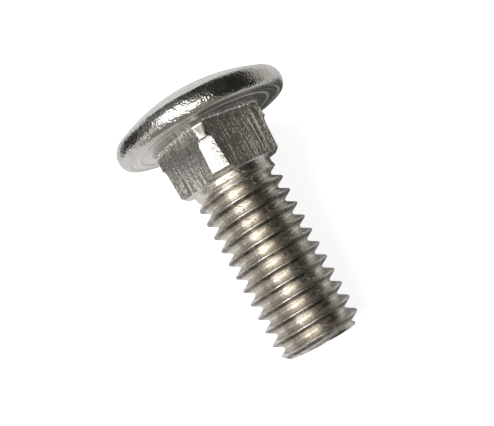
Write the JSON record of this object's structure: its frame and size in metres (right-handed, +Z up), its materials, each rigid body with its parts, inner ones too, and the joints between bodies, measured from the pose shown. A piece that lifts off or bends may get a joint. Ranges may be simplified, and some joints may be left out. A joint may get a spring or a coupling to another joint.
{
  "type": "bumper bolt",
  "caption": "One-piece bolt with a shallow domed round head, a square anti-turn neck under it, a short plain shank and a right-hand thread with a pointed end.",
  "frame": {"origin": "centre of the bounding box's base, on the floor that the bolt lies on", "axes": "+Z up; +X from the head towards the thread end; the bolt lies on its rim and its last crests, so its axis slopes down towards +X by 11.4 degrees in the XZ plane; +Y to the side"},
  "size_m": [0.0306, 0.0196, 0.0193],
  "materials": {
    "steel": "bright, polished"
  },
  "bodies": {
    "root": {"bumper_bolt": "steel"}
  },
  "joints": []
}
